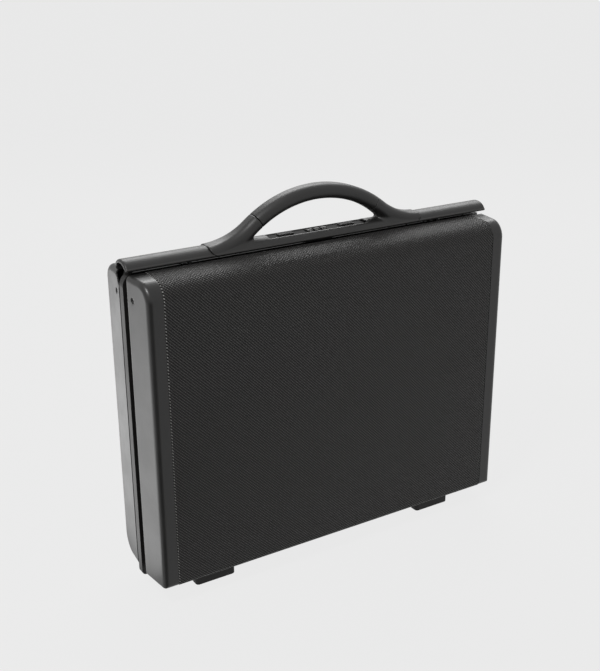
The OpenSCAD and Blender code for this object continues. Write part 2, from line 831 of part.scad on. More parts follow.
// Number dial with ten grooves for the thumb
module dial(i) {
    color(rubber_colour) difference() {
        rod_x(i * dial_pitch - dial_w / 2, i * dial_pitch + dial_w / 2, rail_mid_y, dial_z, dial_r);
        rod_x(-far, far, rail_mid_y, dial_z, spindle_r + pin_fit);
        for (k = [0:9])
            rod_x(i * dial_pitch - dial_w, i * dial_pitch + dial_w,
                rail_mid_y + (dial_r + 0.2) * sin(36 * k + 18),
                dial_z + (dial_r + 0.2) * cos(36 * k + 18), 0.7);
    }
}
module dial_1() { dial(-1); }
module dial_2() { dial(0); }
module dial_3() { dial(1); }

// Thumb slide: ridged top, and a neck through the lock plate down to the rod
module latch_button(left) {
    z0 = plate_top + run_gap;
    color(rubber_colour) side(left) {
        block([button_x, rail_mid_y - 4, z0], [button_x + button_l, rail_mid_y + 4, button_top - 0.5]);
        for (k = [0:4])
            block([button_x + 2 + 3 * k, rail_mid_y - 4, z0], [button_x + 3.5 + 3 * k, rail_mid_y + 4, button_top]);
        block([neck_x, rail_mid_y - neck_w / 2, rod_z + rod_t],
            [neck_x + neck_l, rail_mid_y + neck_w / 2, z0 + 0.5]);
    }
}
module latch_button_left() { latch_button(true); }
module latch_button_right() { latch_button(false); }

// Rod from the thumb slide to the hook, whose nose stands in front of the keeper's arm
module latch_rod(left) {
    arm_front = strip_y + 1 - rod_t;
    color(steel_colour) side(left) {
        block([button_x + 1, rail_mid_y - neck_w / 2, rod_z], [plate_end_x, rod_y + rod_w, rod_z + rod_t]);
        block([button_x + 1, rod_y, rod_z], [nose_x + nose_w, rod_y + rod_w, rod_z + rod_t]);
        block([nose_x, arm_front - nose_gap - nose_depth, rod_z], [nose_x + nose_w, rod_y + 1, rod_z + rod_t]);
        block([nose_x, arm_front - nose_gap - nose_depth, keeper_top - rod_t - 0.7],
            [nose_x + nose_w, arm_front - nose_gap, rod_z + 0.5]);
    }
}
module latch_rod_left() { latch_rod(true); }
module latch_rod_right() { latch_rod(false); }

// Spring between the rod's inner plate and its stop in the handle body
module latch_spring(left) {
    x0 = plate_end_x + run_gap;
    x1 = spring_stop_x - run_gap;
    color(steel_colour) side(left) difference() {
        rod_x(x0, x1, post_y, rod_z, spring_r);
        rod_x(x0 - 1, x1 + 1, post_y, rod_z, spring_r - 0.6);
    }
}
module latch_spring_left() { latch_spring(true); }
module latch_spring_right() { latch_spring(false); }

// Keeper: a plate on the lid frame with an upright, a stem to the rear and an arm to the side
module keeper(left) {
    arm_l = keeper_w + 1 + nose_w - 0.5;
    y0 = lid_rim_y + seat_gap;
    y1 = strip_y + 1;
    color(steel_colour) side(left) {
        block([keeper_x, y0, open_top + 3], [keeper_x + 12, y0 + 1.5, rim_top - 4]);
        block([keeper_x, y0, open_top + 3], [keeper_x + keeper_w, y0 + 1.5, keeper_top]);
        block([keeper_x, y0, keeper_top - rod_t], [keeper_x + keeper_w, y1, keeper_top]);
        block([keeper_x, y1 - rod_t, keeper_top - rod_t], [keeper_x + arm_l, y1, keeper_top]);
    }
}
module keeper_left() { keeper(true); }
module keeper_right() { keeper(false); }

// Folding stays. An arm is a bar with round ends between two pivots
module arm_bar(x1, a, b, hole_a, hole_b) {
    d = b - a;
    x0 = x1 - arm_t;
    difference() {
        union() {
            translate([x0, a[0], a[1]])
                rotate([atan2(d[1], d[0]), 0, 0])
                    translate([0, 0, -arm_w / 2])
                        cube([arm_t, norm(d), arm_w]);
            rod_x(x0, x1, a[0], a[1], arm_w / 2);
            rod_x(x0, x1, b[0], b[1], arm_w / 2);
        }
        if (hole_a) rod_x(x0 - 1, x1 + 1, a[0], a[1], rivet_r + pin_fit);
        if (hole_b) rod_x(x0 - 1, x1 + 1, b[0], b[1], rivet_r + pin_fit);
    }
}
// Rivet from x1 in through an arm whose inner face is at x0, with its head
module rivet(x0, x1, p) {
    rod_x(x0 - run_gap - rivet_head_t, x1, p[0], p[1], rivet_r);
    rod_x(x0 - run_gap - rivet_head_t, x0 - run_gap, p[0], p[1], rivet_head_r);
}
module stay_arm_base(left) {
    color(steel_colour) side(left) {
        arm_bar(arm_base_x, base_pivot, elbow, true, false);
        rivet(arm_lid_x - arm_t, arm_base_x - 1, elbow);
    }
}
module stay_arm_lid(left) {
    color(steel_colour) side(left) arm_bar(arm_lid_x, elbow, lid_pivot, true, true);
}
module stay_bracket_base(left) {
    color(steel_colour) side(left) {
        along_x(stay_x - bracket_t, stay_x)
            polygon(box_outline(base_pivot[0] - 10, base_pivot[1] - 12, base_pivot[0] + 10,
                base_pivot[1] + 12, 3));
        rivet(arm_base_x - arm_t, stay_x - 0.5, base_pivot);
    }
}
module stay_bracket_lid(left) {
    x1 = open_hw - 3 * seat_gap - lining_t;
    color(steel_colour) side(left) {
        along_x(x1 - bracket_t, x1)
            polygon(box_outline(lid_pivot[0] - 9, lid_pivot[1] - 12, lid_pivot[0] + 7,
                lid_pivot[1] + 12, 3));
        rod_x(arm_lid_x + run_gap, x1 - 0.5, lid_pivot[0], lid_pivot[1], rivet_head_r + 1);
        rivet(arm_lid_x - arm_t, x1 - 0.5, lid_pivot);
    }
}
module stay_arm_base_left() { stay_arm_base(true); }
module stay_arm_base_right() { stay_arm_base(false); }
module stay_arm_lid_left() { stay_arm_lid(true); }
module stay_arm_lid_right() { stay_arm_lid(false); }
module stay_bracket_base_left() { stay_bracket_base(true); }
module stay_bracket_base_right() { stay_bracket_base(false); }
module stay_bracket_lid_left() { stay_bracket_lid(true); }
module stay_bracket_lid_right() { stay_bracket_lid(false); }

base_panel();
base_end_cap_left();
base_end_cap_right();
base_frame();
base_lining();
base_hinge_leaf();
hinge_pin();
base_feet();
base_screws();
rail_left();
rail_right();
rail_screws();
handle_body();
handle_grip();
handle_core();
handle_bolts();
lock_plate();
lock_housing();
lock_spindle();
latch_spring_left();
latch_spring_right();
stay_bracket_base_left();
stay_bracket_base_right();
lid_panel();
lid_end_cap_left();
lid_end_cap_right();
lid_frame();
lid_lining();
lid_pocket();
lid_hinge_leaf();
lid_feet();
lid_screws();
keeper_left();
keeper_right();
stay_bracket_lid_left();
stay_bracket_lid_right();
latch_button_left();
latch_button_right();
latch_rod_left();
latch_rod_right();
dial_1();
dial_2();
dial_3();
stay_arm_base_left();
stay_arm_base_right();
stay_arm_lid_left();
stay_arm_lid_right();
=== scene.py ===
import json
from math import cos, hypot, pi, radians, sin, sqrt, tan

import bmesh
import bpy
import numpy as np
from mathutils import Matrix, Vector


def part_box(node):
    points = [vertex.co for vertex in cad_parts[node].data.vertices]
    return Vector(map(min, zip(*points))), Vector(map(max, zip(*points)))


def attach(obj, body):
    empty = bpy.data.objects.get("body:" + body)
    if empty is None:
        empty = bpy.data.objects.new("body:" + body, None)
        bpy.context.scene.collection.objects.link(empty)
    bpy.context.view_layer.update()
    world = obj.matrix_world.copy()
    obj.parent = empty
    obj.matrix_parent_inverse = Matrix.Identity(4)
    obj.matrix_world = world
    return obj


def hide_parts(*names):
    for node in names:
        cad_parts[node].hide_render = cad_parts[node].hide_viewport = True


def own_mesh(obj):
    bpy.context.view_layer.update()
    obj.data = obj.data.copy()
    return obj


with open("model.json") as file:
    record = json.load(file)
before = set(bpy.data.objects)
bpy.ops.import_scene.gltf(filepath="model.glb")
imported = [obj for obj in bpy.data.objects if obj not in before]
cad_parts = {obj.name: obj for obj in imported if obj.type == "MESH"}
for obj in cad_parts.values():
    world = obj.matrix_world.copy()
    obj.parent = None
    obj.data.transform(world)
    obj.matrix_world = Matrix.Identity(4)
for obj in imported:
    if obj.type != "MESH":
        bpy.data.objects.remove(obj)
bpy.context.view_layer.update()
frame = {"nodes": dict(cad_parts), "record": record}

# Embossed sheets. A thermoformed sheet wraps each half of the case from rim to rim, over the top, the
# face and the bottom. It is rolled with a lattice of small diamonds that run into slanting lines, and
# its cut ends lie on a step of the end caps.
body_of_node = {n: b for b, group in frame["record"]["behaviour"]["bodies"].items() for n in group}


def put(tree, kind, inputs=(), **settings):
    """Adds a shader node. Inputs are values or other nodes' sockets, settings its own options."""
    made = tree.nodes.new("ShaderNode" + kind)
    for name, value in settings.items():
        setattr(made, name, value)
    for name, value in inputs.items() if isinstance(inputs, dict) else enumerate(inputs):
        if isinstance(value, bpy.types.NodeSocket):
            tree.links.new(value, made.inputs[name])
        elif value is not None:
            made.inputs[name].default_value = value
    return made


def sums(tree, operation, *values):
    """Socket of a Math node."""
    return put(tree, "Math", values, operation=operation).outputs[0]


def ramp(tree, value, low, high, to_low=0.0, to_high=1.0):
    """Socket that goes smoothly from to_low to to_high as value goes from low to high."""
    made = put(tree, "MapRange", {"Value": value, "From Min": low, "From Max": high,
                                  "To Min": to_low, "To Max": to_high}, interpolation_type="SMOOTHSTEP")
    return made.outputs["Result"]


def tint(tree, factor, first, second):
    """Socket of the colour between first and second."""
    made = put(tree, "Mix", data_type="RGBA")
    for place, value in ((0, factor), (6, first), (7, second)):
        if isinstance(value, bpy.types.NodeSocket):
            tree.links.new(value, made.inputs[place])
        else:
            made.inputs[place].default_value = value
    return made.outputs[2]


def shade(level, warm=0.0):
    """Near-neutral colour of one level, a little warmer where warm is above 0."""
    return (level * (1 + warm), level, level * (1 - warm), 1)


def effect(name, inputs, outputs):
    """Starts a node group with named sockets: returns its tree, its inputs and its outputs."""
    tree = bpy.data.node_groups.new(name, "ShaderNodeTree")
    for label, value in inputs.items():
        kind = "NodeSocketVector" if value is None else "NodeSocketFloat"
        socket = tree.interface.new_socket(label, in_out="INPUT", socket_type=kind)
        if value is not None:
            socket.default_value = value
    for label in outputs:
        tree.interface.new_socket(label, in_out="OUTPUT", socket_type="NodeSocketFloat")
    return tree, tree.nodes.new("NodeGroupInput").outputs, tree.nodes.new("NodeGroupOutput").inputs


def place_effect(tree, group, **values):
    """Places a node group in a material: returns its outputs."""
    made = put(tree, "Group", node_tree=group)
    for label, value in values.items():
        socket = made.inputs[label.replace("_", " ")]
        if isinstance(value, bpy.types.NodeSocket):
            tree.links.new(value, socket)
        else:
            socket.default_value = value
    return made.outputs


def finish(name, roughness, specular=0.5, metallic=0.0, **more):
    """New material: returns it, its tree and its Principled shader."""
    material = bpy.data.materials.new(name)
    material.use_nodes = True
    shader = material.node_tree.nodes["Principled BSDF"]
    shader.inputs["Roughness"].default_value = roughness
    shader.inputs["Specular IOR Level"].default_value = specular
    shader.inputs["Metallic"].default_value = metallic
    for label, value in more.items():
        shader.inputs[label.replace("_", " ")].default_value = value
    return material, material.node_tree, shader


def bump(tree, shader, height, distance, strength):
    """Lets height raise the shader's surface, up to distance in metres."""
    made = put(tree, "Bump", {"Strength": strength, "Distance": distance, "Height": height})
    tree.links.new(made.outputs[0], shader.inputs["Normal"])


def fit(name, mesh, material, body, slot, *nodes, sharp=40):
    """Makes a piece of a mesh, lets it ride on its body and take the place of CAD nodes."""
    if isinstance(mesh, bmesh.types.BMesh):
        bm, mesh = mesh, bpy.data.meshes.new(name)
        bmesh.ops.recalc_face_normals(bm, faces=bm.faces)
        bm.to_mesh(mesh)
        bm.free()
    if "custom_normal" in mesh.attributes:
        mesh.attributes.remove(mesh.attributes["custom_normal"])
    mesh.polygons.foreach_set("use_smooth", [True] * len(mesh.polygons))
    mesh.set_sharp_from_angle(angle=radians(sharp))
    mesh.materials.clear()
    mesh.materials.append(material)
    piece = bpy.data.objects.new(name, mesh)
    bpy.context.scene.collection.objects.link(piece)
    even = piece.modifiers.new("even_shading", "WEIGHTED_NORMAL")
    even.keep_sharp = True
    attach(piece, body)
    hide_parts(*nodes)
    return piece


# Lattice of diamonds, pressed along two slanting sets of lines, of which one is stronger, and a mask of
# the ridge ends at the cut edges, where a highlight is painted
emboss, given, put_out = effect("Pressed diamonds", {"Sheet": None, "Pitch": 0.0034, "Half width": 0.208},
                                ["Height", "Painted edge glint"])
across = put(emboss, "SeparateXYZ", [given["Sheet"]]).outputs
u = sums(emboss, "DIVIDE", across["X"], given["Pitch"])
v = sums(emboss, "DIVIDE", across["Y"], given["Pitch"])
ridge = sums(emboss, "MULTIPLY", sums(emboss, "PINGPONG", sums(emboss, "ADD", u, v), 0.5), 2)
dash = sums(emboss, "MULTIPLY", sums(emboss, "PINGPONG", sums(emboss, "SUBTRACT", u, v), 0.5), 2)
flank = ramp(emboss, ridge, 0.12, 0.8)
notch = ramp(emboss, dash, 0.05, 0.6, 0.25, 1.0)
plain = sums(emboss, "SUBTRACT", given["Half width"], sums(emboss, "ABSOLUTE", across["X"]))
border = ramp(emboss, plain, 0.0003, 0.0011)
relief = sums(emboss, "MULTIPLY", sums(emboss, "MULTIPLY", flank, notch), border)
emboss.links.new(relief, put_out["Height"])
# Ridge ends along both cut edges: the mask of a painted highlight, light that the raised ends catch
rim = sums(emboss, "LESS_THAN", plain, 0.0008)
emboss.links.new(sums(emboss, "MULTIPLY", rim, ramp(emboss, ridge, 0.45, 0.75)), put_out["Painted edge glint"])

# Fine grain of a mould's surface, and broader patches where hands and cloth have polished it
mould_grain, given, put_out = effect("Mould grain", {"Grain size": 0.0004, "Patch size": 0.03},
                                     ["Height", "Patches"])
where = put(mould_grain, "TexCoord").outputs["Object"]
grain_scale = sums(mould_grain, "DIVIDE", 1, given["Grain size"])
patch_scale = sums(mould_grain, "DIVIDE", 1, given["Patch size"])
grain = put(mould_grain, "TexNoise", {"Vector": where, "Scale": grain_scale, "Detail": 3, "Roughness": 0.6})
patches = put(mould_grain, "TexNoise", {"Vector": where, "Scale": patch_scale, "Detail": 4, "Roughness": 0.6})
mould_grain.links.new(grain.outputs["Fac"], put_out["Height"])
mould_grain.links.new(ramp(mould_grain, patches.outputs["Fac"], 0.3, 0.7), put_out["Patches"])

sheet_finish, tree, shader = finish("embossed_sheet", 0.5, specular=0.38)
pressed = place_effect(tree, emboss, Sheet=put(tree, "UVMap", uv_map="sheet").outputs[0])
grains = place_effect(tree, mould_grain, Grain_size=0.0003, Patch_size=0.06)
top_colour = tint(tree, grains["Patches"], shade(0.052, 0.04), shade(0.062, 0.05))
# Valleys of the relief go to black and crests to the sheet's tone: painted shade in the grooves
groove_shaded_colour = tint(tree, pressed["Height"], shade(0.0, 0.04), top_colour)
# The ridge ends at the cut edges are painted pale grey: a painted highlight
tree.links.new(tint(tree, pressed["Painted edge glint"], groove_shaded_colour, shade(0.45, 0.02)), shader.inputs["Base Color"])
groove_gloss = sums(tree, "ADD", 0.62, sums(tree, "MULTIPLY", grains["Patches"], 0.05))
tree.links.new(sums(tree, "ADD", sums(tree, "MULTIPLY", pressed["Height"], -0.26), groove_gloss),
               shader.inputs["Roughness"])
relief = sums(tree, "ADD", pressed["Height"], sums(tree, "MULTIPLY", grains["Height"], 0.12))
bump(tree, shader, relief, 0.002, 1.0)


def rounded_path(corners, steps):
    """Open path through corners (y, z, radius), each corner rounded to its radius."""
    path = []
    for i, (y, z, r) in enumerate(corners):
        here = Vector((y, z))
        if not r:
            path.append(here)
            continue
        back = (Vector(corners[i - 1][:2]) - here).normalized()
        on = (Vector(corners[i + 1][:2]) - here).normalized()
        half = back.angle(on) / 2
        centre = here + (back + on).normalized() * r / sin(half)
        start, end = here + back * r / tan(half) - centre, here + on * r / tan(half) - centre
        for k in range(steps + 1):
            turn = start.angle(end)
            spoke = (start * sin((1 - k / steps) * turn) + end * sin(k / steps * turn)) / sin(turn)
            path.append(centre + spoke)
    return path


def wrapped_sheet(name, node, face, rim, top_r, bottom_r):
    """Sheet of even thickness along the section of a half, its ends at the end caps eased."""
    half, thick, ease = 0.208, 0.002, 0.0005
    rim_top, face_top, face_bottom, rim_bottom = 0.3655, 0.364, 0.024, 0.023
    path = rounded_path([(rim, rim_top, 0), (face, face_top, top_r), (face, face_bottom, bottom_r),
                         (rim, rim_bottom, 0)], 16)
    way = [0.0]
    for a, b in zip(path, path[1:]):
        way.append(way[-1] + (b - a).length)
    outward = -1 if face < rim else 1
    loop = [(-half, ease), (-half + ease, -0.5 * ease), (half - ease, -0.5 * ease), (half, ease),
            (half, thick), (-half, thick)]
    bm = bmesh.new()
    sheet = bm.loops.layers.uv.new("sheet")
    rows = []
    for i, p in enumerate(path):
        before, after = path[max(i - 1, 0)], path[min(i + 1, len(path) - 1)]
        run = (after - before).normalized()
        out = Vector((run.y, -run.x)) * -outward
        rows.append([bm.verts.new((x, p.x - out.x * depth, p.y - out.y * depth)) for x, depth in loop])
    count = len(loop)
    for i in range(len(rows) - 1):
        for j in range(count):
            k = (j + 1) % count
            face_made = bm.faces.new((rows[i][j], rows[i][k], rows[i + 1][k], rows[i + 1][j]))
            for corner, (row, column) in zip(face_made.loops, ((i, j), (i, k), (i + 1, k), (i + 1, j))):
                corner[sheet].uv = (loop[column][0], -way[row])
    bm.faces.new(rows[0])
    bm.faces.new(rows[-1])
    return fit(name, bm, sheet_finish, body_of_node[node], "textured_sheet", node)


wrapped_sheet("lid_sheet", "lid_panel", -0.053, -0.011, 0.019, 0.005)
wrapped_sheet("base_sheet", "base_panel", 0.053, 0.0063, 0.016, 0.023)

# End caps. Moulded ends of both halves, in satin black plastic: they close the sheet's ends, carry its
# edge on a step, and each is held to the frame by one screw in a counterbore. The base's caps stop short
# of the strip, which leaves a narrow dark seam.
# Mask of the edges that are painted brighter: partly wear, partly a painted highlight that stands in for
# light on the edges
edge_wear_and_highlight, given, put_out = effect("Edge wear and highlight", {"Reach": 0.0008, "Breakup": 0.004}, ["Wear"])
round_normal = put(edge_wear_and_highlight, "Bevel", {"Radius": given["Reach"]}, samples=4).outputs[0]
true_normal = put(edge_wear_and_highlight, "NewGeometry").outputs["Normal"]
along = put(edge_wear_and_highlight, "VectorMath", [round_normal, true_normal], operation="DOT_PRODUCT").outputs["Value"]
where = put(edge_wear_and_highlight, "TexCoord").outputs["Object"]
wear_scale = sums(edge_wear_and_highlight, "DIVIDE", 1, given["Breakup"])
patchy = put(edge_wear_and_highlight, "TexNoise", {"Vector": where, "Detail": 4, "Scale": wear_scale}).outputs["Fac"]
on_edge, broken_up = ramp(edge_wear_and_highlight, along, 0.995, 0.9), ramp(edge_wear_and_highlight, patchy, 0.35, 0.65, 0.4, 1.0)
edge_wear_and_highlight.links.new(sums(edge_wear_and_highlight, "MULTIPLY", on_edge, broken_up), put_out["Wear"])


def moulded(name, level, roughness, grain, depth, wear_and_highlight_gain=1.6, specular=0.5):
    """Satin moulded plastic: fine grain, patches of other gloss, and edges painted brighter, partly as wear
    and partly as a painted highlight.
    """
    warm = 0.03
    material, tree, shader = finish(name, roughness, specular)
    grains = place_effect(tree, mould_grain, Grain_size=grain, Patch_size=0.035)
    wear_and_highlight = place_effect(tree, edge_wear_and_highlight)["Wear"]
    body_colour = tint(tree, grains["Patches"], shade(level * 0.92, warm), shade(level * 1.08, warm))
    tree.links.new(tint(tree, wear_and_highlight, body_colour, shade(level * wear_and_highlight_gain, warm)), shader.inputs["Base Color"])
    satin = sums(tree, "ADD", roughness - 0.03, sums(tree, "MULTIPLY", grains["Patches"], 0.06))
    rubbed = sums(tree, "SUBTRACT", satin, sums(tree, "MULTIPLY", wear_and_highlight, 0.08))
    tree.links.new(rubbed, shader.inputs["Roughness"])
    bump(tree, shader, grains["Height"], depth, 0.6)
    return material


def eased(node, material, slot, radius, sharp=32):
    """The node's own solid with its sharp edges rounded a little, as they come out of a mould."""
    bm = bmesh.new()
    bm.from_mesh(frame["nodes"][node].data)
    bmesh.ops.remove_doubles(bm, verts=bm.verts, dist=2e-6)
    bmesh.ops.dissolve_limit(bm, angle_limit=radians(0.5), verts=bm.verts, edges=bm.edges)
    edges = [e for e in bm.edges if len(e.link_faces) == 2 and e.calc_face_angle(0) > radians(sharp)]
    bmesh.ops.bevel(bm, geom=edges, offset=radius, offset_type="OFFSET", segments=2, profile=0.5,
                    affect="EDGES", clamp_overlap=True)
    return fit(node + "_part", bm, material, body_of_node[node], slot, node)


cap_finish = moulded("satin_cap_plastic", 0.012, 0.36, 0.0005, 0.00002)


def surface_net(name, field, low, high, cell):
    """Mesh of the surface where field is 0, in millimetres, each corner drawn onto that surface."""
    axes = [np.arange(a, b + cell, cell) for a, b in zip(low, high)]
    grid = np.stack(np.meshgrid(*axes, indexing="ij"), -1)
    value = field(grid[..., 0], grid[..., 1], grid[..., 2])
    inside = value < 0
    corners = [(i, j, k) for i in (0, 1) for j in (0, 1) for k in (0, 1)]

    def shifted(a, c):
        return a[tuple(slice(s, (-1 if s == 0 else None)) for s in c)]

    total = sum(shifted(inside, c).astype(int) for c in corners)
    mixed = (total > 0) & (total < 8)
    number = -np.ones(mixed.shape, int)
    number[mixed] = np.arange(mixed.sum())
    points, weight = np.zeros((mixed.sum(), 3)), np.zeros(mixed.sum())
    for a in corners:
        for axis in range(3):
            if a[axis]:
                continue
            b = tuple(s + (axis == n) for n, s in enumerate(a))
            va, vb = shifted(value, a)[mixed], shifted(value, b)[mixed]
            cut = (va < 0) != (vb < 0)
            share = np.where(cut, va / np.where(cut, va - vb, 1), 0)[:, None]
            place = shifted(grid, a)[mixed] * (1 - share) + shifted(grid, b)[mixed] * share
            points += np.where(cut[:, None], place, 0)
            weight += cut
    points /= weight[:, None]
    step = 0.01
    for _ in range(4):
        f = field(*points.T)
        slope = np.stack([(field(*(points + step * np.eye(3)[n]).T) - f) / step for n in range(3)], -1)
        move = -f[:, None] * slope / np.maximum((slope ** 2).sum(1), 0.05)[:, None]
        points += np.clip(move, -0.4 * cell, 0.4 * cell)
    faces = []
    for axis in range(3):
        first, second = [n for n in range(3) if n != axis]
        edge_in = np.take(inside, range(inside.shape[axis] - 1), axis)
        edge_out = np.take(inside, range(1, inside.shape[axis]), axis)
        for place in np.argwhere(edge_in != edge_out):
            if place[first] == 0 or place[second] == 0:
                continue
            ring = []
            for da, db in ((0, 0), (-1, 0), (-1, -1), (0, -1)):
                cell_at = place.copy()
                cell_at[first] += da
                cell_at[second] += db
                if any(c < 0 or c >= s for c, s in zip(cell_at, number.shape)):
                    ring = []
                    break
                ring.append(number[tuple(cell_at)])
            if len(ring) == 4 and min(ring) >= 0:
                flip = inside[tuple(place)] != (axis == 1)
                faces.append(ring if flip else ring[::-1])
    mesh = bpy.data.meshes.new(name)
    mesh.from_pydata(points * 0.001, [], faces)
    mesh.validate()
    return mesh


def other_hand(mesh):
    """Mirrored copy of a right-hand mesh, for the left."""
    made = mesh.copy()
    made.transform(Matrix.Scale(-1, 4, (1, 0, 0)))
    made.flip_normals()
    return made


def round_and(a, b, r):
    """Both: the meeting edge is rounded to r."""
    return np.minimum(np.maximum(a, b), -r) + np.hypot(np.maximum(a + r, 0), np.maximum(b + r, 0))


def hollow_cap(y, x, z, outside, rim, inward, screw_y, seat):
    """Shell under outside, its rim and cut end, the step that carries the sheet, and the screw hole."""
    wall, sheet_end, screw_z, head_r, shank_r = 2.2, 208.1, 342, 2.7, 1.7
    to_rim = (y - rim) * inward
    shell = round_and(np.maximum(outside, -(outside + wall)), to_rim, 0.5)
    shell = round_and(shell, sheet_end - x, 0.25)
    step = np.maximum(np.maximum(outside + 2.1, -(outside + 4.3)), to_rim + 20.1)
    step = np.maximum(step, np.maximum(200 - x, x - 212))
    hole = np.hypot(y - screw_y, z - screw_z)
    drilled = np.minimum(np.maximum(hole - head_r, seat - x), hole - shank_r)
    return round_and(np.minimum(shell, step), -drilled, 0.3)


face_y, end_x, top_z, foot_z = 53, 225, 364, 24
end_draft, top_draft = 4, 1.5


def lid_cap_field(x, y, z):
    """Right cap of the lid: face, top, side and bottom with their roundings."""
    flare = (y + face_y) / 42
    top = round_and(-face_y - y, z - top_z - top_draft * flare, 19)
    end = round_and(x - end_x - end_draft * flare, foot_z - flare - z, 3)
    return hollow_cap(y, x, z, round_and(top, end, 5.5), -11, 1, -21, 226.75)


def base_cap_field(x, y, z):
    """Right cap of the base, with a wide rounding under its face and a notch under the rail's end."""
    flare = (face_y - y) / 46.7
    around = round_and(round_and(y - face_y, z - top_z - top_draft * flare, 16), foot_z - flare - z, 23)
    cap = hollow_cap(y, x, z, round_and(around, x - end_x - end_draft * flare, 6), 10.3, -1, 18.8, 226.63)
    slant = ((y - 11.5) * 9 - (z - 351) * 6.2) / 10.93
    return round_and(cap, -np.maximum(np.maximum(218 - x, 351 - z), np.maximum(y - 17.7, slant)), 0.5)


cell = 1.0
for half, field, y0, y1 in (("lid", lid_cap_field, -54.2, -9), ("base", base_cap_field, 4.2, 54.2)):
    cap = surface_net(half + "_cap", field, (198, y0, 21), (231, y1, 368), cell)
    left_cap = other_hand(cap)
    fit(half + "_cap_right", cap, cap_finish, half, "cap_plastic", half + "_end_cap_right", sharp=50)
    fit(half + "_cap_left", left_cap, cap_finish, half, "cap_plastic", half + "_end_cap_left", sharp=50)

# Frames. Rigid moulded rings inside both rims. The base's frame shows between the halves as a strip, with
# a dark groove towards the lid, and its tongue closes into the lid's frame. The strip's front edge is a
# glossy bead over an undercut, its front faces painted lighter as a highlight, and its left upper corner is
# rounded wide.
frame_finish = moulded("frame_plastic", 0.014, 0.4, 0.0005, 0.00001, specular=0.2)
# Lighter copy of the frame's plastic for the bead's front faces: a painted highlight
bead_highlight_finish = moulded("strip_bead_painted_highlight", 0.03, 0.15, 0.0005, 0.00001, specular=1.0)
ring = eased("base_frame", frame_finish, "frame_plastic", 0.0007)
corner_low, corner_r, inner_reach, rear_x = 0.351, 0.013, 0.2165, 0.2
front_y, strip_y, inner_y, front_left = 0.0005, 0.0065, 0.0275, -0.217
undercut_low, undercut_high, undercut_depth = 0.3605, 0.3632, 0.0025
bead_low, bead_seam, bead_y, bead_rise, bead_lean = 0.3633, 0.3634, -0.0022, 1.6, 0.29
bm = bmesh.new()
bm.from_mesh(ring.data)
for height in (0.3508, 0.3512, 0.354, 0.3565, 0.3585, 0.3602, 0.3618, 0.3631, 0.3634):
    bmesh.ops.bisect_plane(bm, geom=bm.verts[:] + bm.edges[:] + bm.faces[:], plane_co=(0, 0, height),
                           plane_no=(0, 0, 1))
for vert in bm.verts:
    if vert.co.z > corner_low and vert.co.y < inner_y:
        reach = inner_reach
        if vert.co.y < strip_y:
            rise = vert.co.z - corner_low
            reach += corner_r if vert.co.x > 0 else sqrt(max(corner_r ** 2 - rise ** 2, 0))
        vert.co.x = max(-reach, min(reach, vert.co.x))
        front = vert.co.y < front_y and vert.co.x > front_left
        if undercut_low < vert.co.z < undercut_high and front:
            vert.co.y += undercut_depth
        elif vert.co.z > bead_low and (front or rear_x < abs(vert.co.x) and vert.co.y < strip_y):
            vert.co.z += bead_rise * (vert.co.z - bead_low)
            if front:
                vert.co.y = bead_lean * (vert.co.z - bead_seam) + bead_y
bm.normal_update()
# Faces of the bead that face the front take the lighter material: a painted highlight line
for face in bm.faces:
    face.material_index = int(face.calc_center_median().z > bead_seam and face.normal.y < -0.8)
bm.to_mesh(ring.data)
bm.free()
ring.data.materials.append(bead_highlight_finish)
eased("lid_frame", frame_finish, "frame_plastic", 0.0005)

# Linings and pocket. Thin trays covered with ribbed grey cloth line both halves, and a document pocket
# of grained leatherette is stitched flat to the lid's tray, with a bound top edge.
cloth_weave, given, put_out = effect("Ribbed cloth", {"Cloth": None, "Thread": 0.0009}, ["Height", "Fleck"])
at = put(cloth_weave, "SeparateXYZ", [given["Cloth"]]).outputs
weft = sums(cloth_weave, "DIVIDE", sums(cloth_weave, "ADD", at["Z"], at["Y"]), given["Thread"])
warp = sums(cloth_weave, "DIVIDE", sums(cloth_weave, "ADD", at["X"], at["Y"]), given["Thread"])
row_height = sums(cloth_weave, "SINE", sums(cloth_weave, "MULTIPLY", weft, 2 * pi))
shift = sums(cloth_weave, "MULTIPLY", sums(cloth_weave, "FLOOR", weft), 0.5)
staggered = sums(cloth_weave, "ADD", warp, shift)
thread = sums(cloth_weave, "SINE", sums(cloth_weave, "MULTIPLY", staggered, 2 * pi))
slub = put(cloth_weave, "TexNoise", {"Vector": given["Cloth"], "Scale": 900, "Detail": 2}).outputs["Fac"]
woven = sums(cloth_weave, "ADD", sums(cloth_weave, "MULTIPLY", row_height, 0.3),
             sums(cloth_weave, "MULTIPLY", thread, 0.2))
fuzzy = sums(cloth_weave, "ADD", woven, sums(cloth_weave, "MULTIPLY", slub, 0.6))
cloth_weave.links.new(fuzzy, put_out["Height"])
cloth_weave.links.new(ramp(cloth_weave, slub, 0.35, 0.65), put_out["Fleck"])

lining_finish, tree, shader = finish("lining_cloth", 0.85, specular=0.2, Sheen_Weight=0.35,
                                     Sheen_Roughness=0.5)
cloth = place_effect(tree, cloth_weave, Cloth=put(tree, "TexCoord").outputs["Object"])
tree.links.new(tint(tree, cloth["Fleck"], (0.028, 0.029, 0.033, 1), (0.052, 0.053, 0.058, 1)),
               shader.inputs["Base Color"])
bump(tree, shader, cloth["Height"], 0.00015, 0.8)
for node in ("lid_lining", "base_lining"):
    eased(node, lining_finish, "lining", 0.0004)

